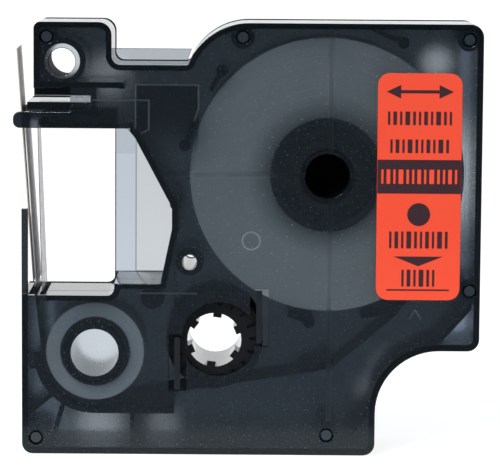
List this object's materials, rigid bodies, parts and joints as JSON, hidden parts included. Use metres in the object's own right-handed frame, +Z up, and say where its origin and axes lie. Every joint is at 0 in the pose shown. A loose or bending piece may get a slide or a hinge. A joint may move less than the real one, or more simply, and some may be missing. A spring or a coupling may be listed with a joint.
{
  "type": "label tape cassette",
  "caption": "Flat smoke-plastic label tape cassette with a print window, tape roll, ribbon spools, toothed take-up hub and orange-red sticker.",
  "frame": {"origin": "centre of the bounding box in plan, at the bottom edge the cassette stands on", "axes": "+X to the right seen from the front face, +Y from the front face to the rear face, +Z up"},
  "size_m": [0.0796, 0.0184, 0.074],
  "materials": {
    "smoke_plastic": "translucent smoke grey moulding with a fine spark-eroded satin texture on its broad faces and polished edges",
    "black_plastic": "black moulded plastic, satin, glossy in the bore",
    "label_tape": "polyester label tape on beige backing, wound edges show fine rings",
    "ink_ribbon": "thin ink ribbon, dark grey, slightly glossy",
    "sticker_print": "orange-red printed sticker with dark maroon marks, slight sheen"
  },
  "bodies": {
    "shell": {"front_cover": "smoke_plastic", "rear_shell": "smoke_plastic", "label_sticker": "sticker_print", "tape_inner_run": "label_tape", "tape_window_run": "label_tape", "ribbon_feed_run": "ink_ribbon", "ribbon_return_run": "ink_ribbon"},
    "tape_spool": {"tape_core": "black_plastic", "tape_roll": "label_tape"},
    "tape_end": {"tape_free_end": "label_tape"},
    "ribbon_supply": {"ribbon_supply_core": "black_plastic", "ribbon_supply_roll": "ink_ribbon"},
    "ribbon_takeup": {"takeup_spool": "black_plastic", "takeup_winding": "ink_ribbon"},
    "left_arm": {"left_click_arm": "smoke_plastic"},
    "right_arm": {"right_click_arm": "smoke_plastic"}
  },
  "joints": [
    {"name": "tape_spool_turn", "type": "hinge", "parent": "shell", "child": "tape_spool", "pos_m": [0.0136, 0, 0.0481], "axis": [0, 1, 0], "range_deg": [0, 61]},
    {"name": "tape_feed", "type": "slide", "parent": "shell", "child": "tape_end", "axis": [-0.0678, 0, 0.9977], "range_m": [0, 0.025]},
    {"name": "ribbon_takeup_turn", "type": "hinge", "parent": "shell", "child": "ribbon_takeup", "pos_m": [-0.0055, 0, 0.0197], "axis": [0, -1, 0], "continuous": true},
    {"name": "ribbon_supply_turn", "type": "hinge", "parent": "shell", "child": "ribbon_supply", "pos_m": [-0.026, 0, 0.0174], "axis": [0, 1, 0], "continuous": true},
    {"name": "left_arm_flex", "type": "hinge", "parent": "shell", "child": "left_arm", "pos_m": [-0.0118, -0.0088, 0.0113], "axis": [1, 0, 0], "range_deg": [0, 4], "stiffness_Nm_per_rad": 0.02},
    {"name": "right_arm_flex", "type": "hinge", "parent": "shell", "child": "right_arm", "pos_m": [0.00215, -0.0088, 0.0284], "axis": [-1, 0, 0], "range_deg": [0, 4], "stiffness_Nm_per_rad": 0.02}
  ],
  "couplings": [
    {"joint": "tape_feed", "follows": "tape_spool_turn", "m_per_rad": 0.0234},
    {"joint": "ribbon_supply_turn", "follows": "ribbon_takeup_turn", "ratio": 0.7857}
  ]
}
